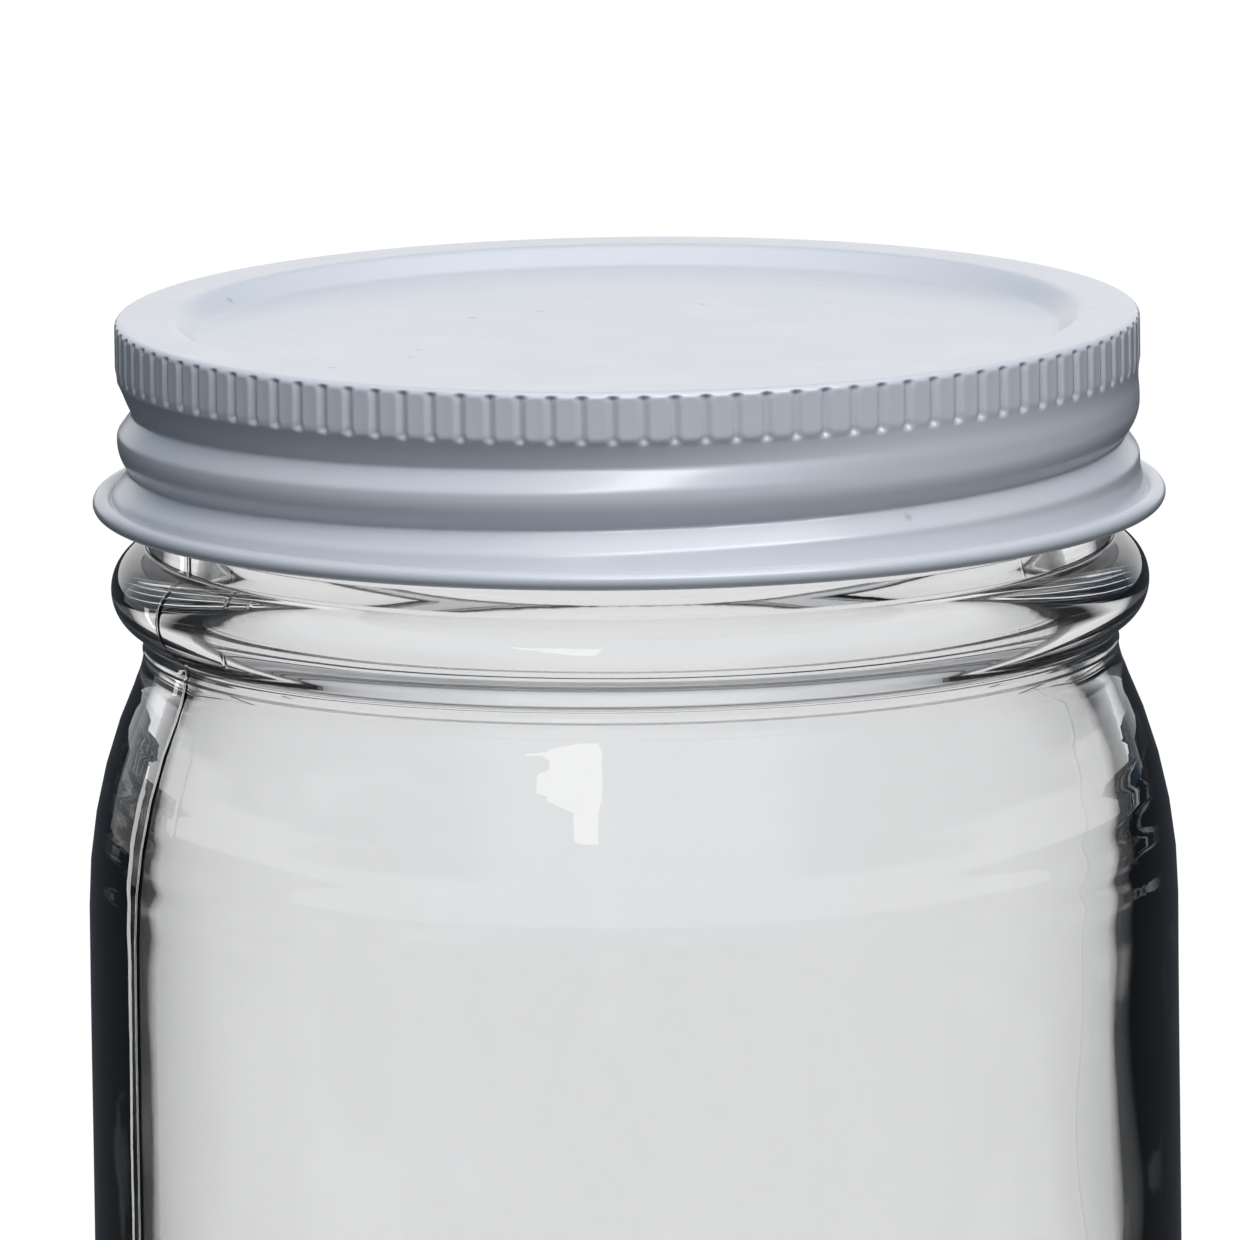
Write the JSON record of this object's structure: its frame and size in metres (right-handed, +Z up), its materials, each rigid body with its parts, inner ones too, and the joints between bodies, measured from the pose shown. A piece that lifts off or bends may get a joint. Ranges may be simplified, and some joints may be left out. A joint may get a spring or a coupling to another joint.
{
  "type": "mason jar",
  "caption": "Clear glass screw-top canning jar with a rounded neck bead, and a white metal screw lid with fluted edge, rolled thread and curled rim over a soft seal.",
  "frame": {"origin": "middle of the surface that the jar stands on, on the jar's axis", "axes": "+Z up along the jar's axis; -Y is the front, the side that faces the viewer"},
  "size_m": [0.0768, 0.0768, 0.1286],
  "materials": {
    "clear_glass": "clear polished soda-lime glass with fire-polished surfaces",
    "white_lacquered_steel": "semi-gloss white lacquer on tinplate",
    "sealing_compound": "satin off-white plastisol"
  },
  "bodies": {
    "jar": {"glass_jar": "clear_glass"},
    "seal": {"sealing_gasket": "sealing_compound"},
    "lid": {"lid_shell": "white_lacquered_steel"}
  },
  "joints": [
    {"name": "lid_rise", "type": "slide", "parent": "jar", "child": "seal", "axis": [0, 0, 1], "range_m": [0, 0.017]},
    {"name": "lid_turn", "type": "hinge", "parent": "seal", "child": "lid", "pos_m": [0, 0, 0.12], "axis": [0, 0, 1], "range_deg": [0, 1440]}
  ],
  "couplings": [
    {"joint": "lid_rise", "follows": "lid_turn", "m_per_rad": 0.00067323}
  ]
}
